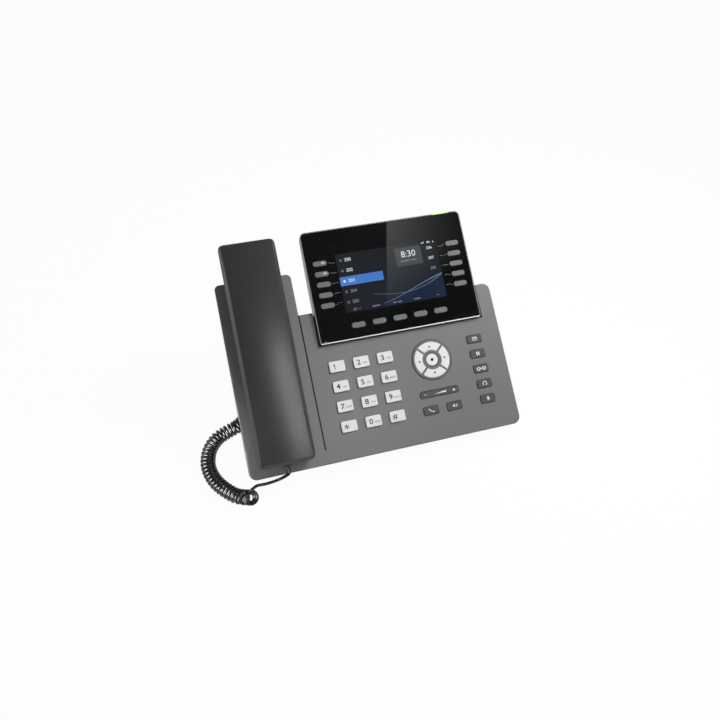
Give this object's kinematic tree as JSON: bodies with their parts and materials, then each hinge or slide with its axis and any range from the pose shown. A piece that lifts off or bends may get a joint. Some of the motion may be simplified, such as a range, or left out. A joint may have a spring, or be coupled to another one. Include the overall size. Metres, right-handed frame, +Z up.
{
  "type": "desk telephone",
  "caption": "Sloped desk telephone with a raised colour display, line, soft, dial and navigation keys, and a lift-off handset on a curly cord.",
  "frame": {"origin": "bottom centre of the phone's box without its cord, on the table plane, midway between the left and right sides and between its front and back", "axes": "+X to the user's right, +Y from the user towards the back, +Z up"},
  "size_m": [0.2894, 0.1787, 0.1601],
  "materials": {
    "body_grey": "fine satin grain",
    "rear_grey": "fine grain",
    "display_rim": "satin",
    "black_glass": "polished black panel",
    "lcd": "display panel",
    "bright_trim": "bright strip",
    "lamp_green": "translucent lamp",
    "circuit_board": "solder mask",
    "black_rubber": "matt",
    "black_plastic": "satin",
    "handset_charcoal": "fine satin grain",
    "cord_black": "glossy",
    "key_white": "satin",
    "key_grey": "satin",
    "key_dark": "satin"
  },
  "bodies": {
    "base": {"front_housing": "body_grey", "rear_housing": "rear_grey", "display_housing": "display_rim", "display_glass": "black_glass", "lcd_panel": "lcd", "display_trim": "bright_trim", "message_lamp": "lamp_green", "main_board": "circuit_board", "keypad_mat": "black_rubber", "rubber_feet": "black_rubber", "stand": "rear_grey", "socket_block": "black_plastic", "rest_tab": "body_grey", "base_plug": "black_plastic", "cord_lead": "cord_black", "cord_coil": "cord_black", "cord_tail": "cord_black"},
    "handset": {"handset_outer": "handset_charcoal", "handset_inner": "handset_charcoal", "handset_plug": "black_plastic"},
    "hook_switch": {"hook_switch": "black_plastic"},
    "nav_gimbal": {"nav_gimbal": "black_rubber"},
    "nav_pad": {"nav_pad": "key_grey", "nav_segments": "key_white"},
    "key_ok": {"key_ok": "key_white"},
    "volume_rocker": {"volume_rocker": "key_grey"},
    "key_1": {"key_1": "key_white"},
    "key_2": {"key_2": "key_white"},
    "key_3": {"key_3": "key_white"},
    "key_4": {"key_4": "key_white"},
    "key_5": {"key_5": "key_white"},
    "key_6": {"key_6": "key_white"},
    "key_7": {"key_7": "key_white"},
    "key_8": {"key_8": "key_white"},
    "key_9": {"key_9": "key_white"},
    "key_star": {"key_star": "key_white"},
    "key_0": {"key_0": "key_white"},
    "key_hash": {"key_hash": "key_white"},
    "key_message": {"key_message": "key_grey"},
    "key_hold": {"key_hold": "key_grey"},
    "key_transfer": {"key_transfer": "key_grey"},
    "key_headset": {"key_headset": "key_grey"},
    "key_mute": {"key_mute": "key_grey"},
    "key_call": {"key_call": "key_grey"},
    "key_speaker": {"key_speaker": "key_grey"},
    "line_l1": {"line_l1": "key_dark"},
    "line_r1": {"line_r1": "key_dark"},
    "soft_1": {"soft_1": "key_dark"},
    "line_l2": {"line_l2": "key_dark"},
    "line_l3": {"line_l3": "key_dark"},
    "line_l4": {"line_l4": "key_dark"},
    "line_l5": {"line_l5": "key_dark"},
    "line_r2": {"line_r2": "key_dark"},
    "line_r3": {"line_r3": "key_dark"},
    "line_r4": {"line_r4": "key_dark"},
    "line_r5": {"line_r5": "key_dark"},
    "soft_2": {"soft_2": "key_dark"},
    "soft_3": {"soft_3": "key_dark"},
    "soft_4": {"soft_4": "key_dark"},
    "soft_5": {"soft_5": "key_dark"}
  },
  "joints": [
    {"name": "handset_lift", "type": "slide", "parent": "base", "child": "handset", "axis": [0, -0.6074, 0.7944], "range_m": [0, 0.06]},
    {"name": "hook_switch_slide", "type": "slide", "parent": "base", "child": "hook_switch", "axis": [0, -0.6074, 0.7944], "range_m": [0, 0.003]},
    {"name": "nav_up_down", "type": "hinge", "parent": "base", "child": "nav_gimbal", "pos_m": [0.054, -0.01999, 0.05763], "axis": [1, 0, 0], "range_deg": [-2, 2], "stiffness_Nm_per_rad": 0.4},
    {"name": "nav_left_right", "type": "hinge", "parent": "nav_gimbal", "child": "nav_pad", "pos_m": [0.054, -0.01999, 0.05763], "axis": [0, 0.7944, 0.6074], "range_deg": [-2, 2], "stiffness_Nm_per_rad": 0.4},
    {"name": "volume_rock", "type": "hinge", "parent": "base", "child": "volume_rocker", "pos_m": [0.0544, -0.04478, 0.04032], "axis": [0, 0.7944, 0.6074], "range_deg": [-2.5, 2.5], "stiffness_Nm_per_rad": 0.4},
    {"name": "key_ok_press", "type": "slide", "parent": "base", "child": "key_ok", "axis": [0, 0.6074, -0.7944], "range_m": [0, 0.0008], "stiffness_N_per_m": 400},
    {"name": "key_1_press", "type": "slide", "parent": "base", "child": "key_1", "axis": [0, 0.6074, -0.7944], "range_m": [0, 0.0012], "stiffness_N_per_m": 400},
    {"name": "key_2_press", "type": "slide", "parent": "base", "child": "key_2", "axis": [0, 0.6074, -0.7944], "range_m": [0, 0.0012], "stiffness_N_per_m": 400},
    {"name": "key_3_press", "type": "slide", "parent": "base", "child": "key_3", "axis": [0, 0.6074, -0.7944], "range_m": [0, 0.0012], "stiffness_N_per_m": 400},
    {"name": "key_4_press", "type": "slide", "parent": "base", "child": "key_4", "axis": [0, 0.6074, -0.7944], "range_m": [0, 0.0012], "stiffness_N_per_m": 400},
    {"name": "key_5_press", "type": "slide", "parent": "base", "child": "key_5", "axis": [0, 0.6074, -0.7944], "range_m": [0, 0.0012], "stiffness_N_per_m": 400},
    {"name": "key_6_press", "type": "slide", "parent": "base", "child": "key_6", "axis": [0, 0.6074, -0.7944], "range_m": [0, 0.0012], "stiffness_N_per_m": 400},
    {"name": "key_7_press", "type": "slide", "parent": "base", "child": "key_7", "axis": [0, 0.6074, -0.7944], "range_m": [0, 0.0012], "stiffness_N_per_m": 400},
    {"name": "key_8_press", "type": "slide", "parent": "base", "child": "key_8", "axis": [0, 0.6074, -0.7944], "range_m": [0, 0.0012], "stiffness_N_per_m": 400},
    {"name": "key_9_press", "type": "slide", "parent": "base", "child": "key_9", "axis": [0, 0.6074, -0.7944], "range_m": [0, 0.0012], "stiffness_N_per_m": 400},
    {"name": "key_star_press", "type": "slide", "parent": "base", "child": "key_star", "axis": [0, 0.6074, -0.7944], "range_m": [0, 0.0012], "stiffness_N_per_m": 400},
    {"name": "key_0_press", "type": "slide", "parent": "base", "child": "key_0", "axis": [0, 0.6074, -0.7944], "range_m": [0, 0.0012], "stiffness_N_per_m": 400},
    {"name": "key_hash_press", "type": "slide", "parent": "base", "child": "key_hash", "axis": [0, 0.6074, -0.7944], "range_m": [0, 0.0012], "stiffness_N_per_m": 400},
    {"name": "key_message_press", "type": "slide", "parent": "base", "child": "key_message", "axis": [0, 0.6074, -0.7944], "range_m": [0, 0.0008], "stiffness_N_per_m": 400},
    {"name": "key_hold_press", "type": "slide", "parent": "base", "child": "key_hold", "axis": [0, 0.6074, -0.7944], "range_m": [0, 0.0008], "stiffness_N_per_m": 400},
    {"name": "key_transfer_press", "type": "slide", "parent": "base", "child": "key_transfer", "axis": [0, 0.6074, -0.7944], "range_m": [0, 0.0008], "stiffness_N_per_m": 400},
    {"name": "key_headset_press", "type": "slide", "parent": "base", "child": "key_headset", "axis": [0, 0.6074, -0.7944], "range_m": [0, 0.0008], "stiffness_N_per_m": 400},
    {"name": "key_mute_press", "type": "slide", "parent": "base", "child": "key_mute", "axis": [0, 0.6074, -0.7944], "range_m": [0, 0.0008], "stiffness_N_per_m": 400},
    {"name": "key_call_press", "type": "slide", "parent": "base", "child": "key_call", "axis": [0, 0.6074, -0.7944], "range_m": [0, 0.0008], "stiffness_N_per_m": 400},
    {"name": "key_speaker_press", "type": "slide", "parent": "base", "child": "key_speaker", "axis": [0, 0.6074, -0.7944], "range_m": [0, 0.0008], "stiffness_N_per_m": 400},
    {"name": "line_l1_press", "type": "slide", "parent": "base", "child": "line_l1", "axis": [0, 0.6401, -0.7683], "range_m": [0, 0.0008], "stiffness_N_per_m": 400},
    {"name": "line_r1_press", "type": "slide", "parent": "base", "child": "line_r1", "axis": [0, 0.6401, -0.7683], "range_m": [0, 0.0008], "stiffness_N_per_m": 400},
    {"name": "soft_1_press", "type": "slide", "parent": "base", "child": "soft_1", "axis": [0, 0.6401, -0.7683], "range_m": [0, 0.0008], "stiffness_N_per_m": 400},
    {"name": "line_l2_press", "type": "slide", "parent": "base", "child": "line_l2", "axis": [0, 0.6401, -0.7683], "range_m": [0, 0.0008], "stiffness_N_per_m": 400},
    {"name": "line_l3_press", "type": "slide", "parent": "base", "child": "line_l3", "axis": [0, 0.6401, -0.7683], "range_m": [0, 0.0008], "stiffness_N_per_m": 400},
    {"name": "line_l4_press", "type": "slide", "parent": "base", "child": "line_l4", "axis": [0, 0.6401, -0.7683], "range_m": [0, 0.0008], "stiffness_N_per_m": 400},
    {"name": "line_l5_press", "type": "slide", "parent": "base", "child": "line_l5", "axis": [0, 0.6401, -0.7683], "range_m": [0, 0.0008], "stiffness_N_per_m": 400},
    {"name": "line_r2_press", "type": "slide", "parent": "base", "child": "line_r2", "axis": [0, 0.6401, -0.7683], "range_m": [0, 0.0008], "stiffness_N_per_m": 400},
    {"name": "line_r3_press", "type": "slide", "parent": "base", "child": "line_r3", "axis": [0, 0.6401, -0.7683], "range_m": [0, 0.0008], "stiffness_N_per_m": 400},
    {"name": "line_r4_press", "type": "slide", "parent": "base", "child": "line_r4", "axis": [0, 0.6401, -0.7683], "range_m": [0, 0.0008], "stiffness_N_per_m": 400},
    {"name": "line_r5_press", "type": "slide", "parent": "base", "child": "line_r5", "axis": [0, 0.6401, -0.7683], "range_m": [0, 0.0008], "stiffness_N_per_m": 400},
    {"name": "soft_2_press", "type": "slide", "parent": "base", "child": "soft_2", "axis": [0, 0.6401, -0.7683], "range_m": [0, 0.0008], "stiffness_N_per_m": 400},
    {"name": "soft_3_press", "type": "slide", "parent": "base", "child": "soft_3", "axis": [0, 0.6401, -0.7683], "range_m": [0, 0.0008], "stiffness_N_per_m": 400},
    {"name": "soft_4_press", "type": "slide", "parent": "base", "child": "soft_4", "axis": [0, 0.6401, -0.7683], "range_m": [0, 0.0008], "stiffness_N_per_m": 400},
    {"name": "soft_5_press", "type": "slide", "parent": "base", "child": "soft_5", "axis": [0, 0.6401, -0.7683], "range_m": [0, 0.0008], "stiffness_N_per_m": 400}
  ],
  "couplings": [
    {"joint": "hook_switch_slide", "follows": "handset_lift", "ratio": 0.05}
  ]
}
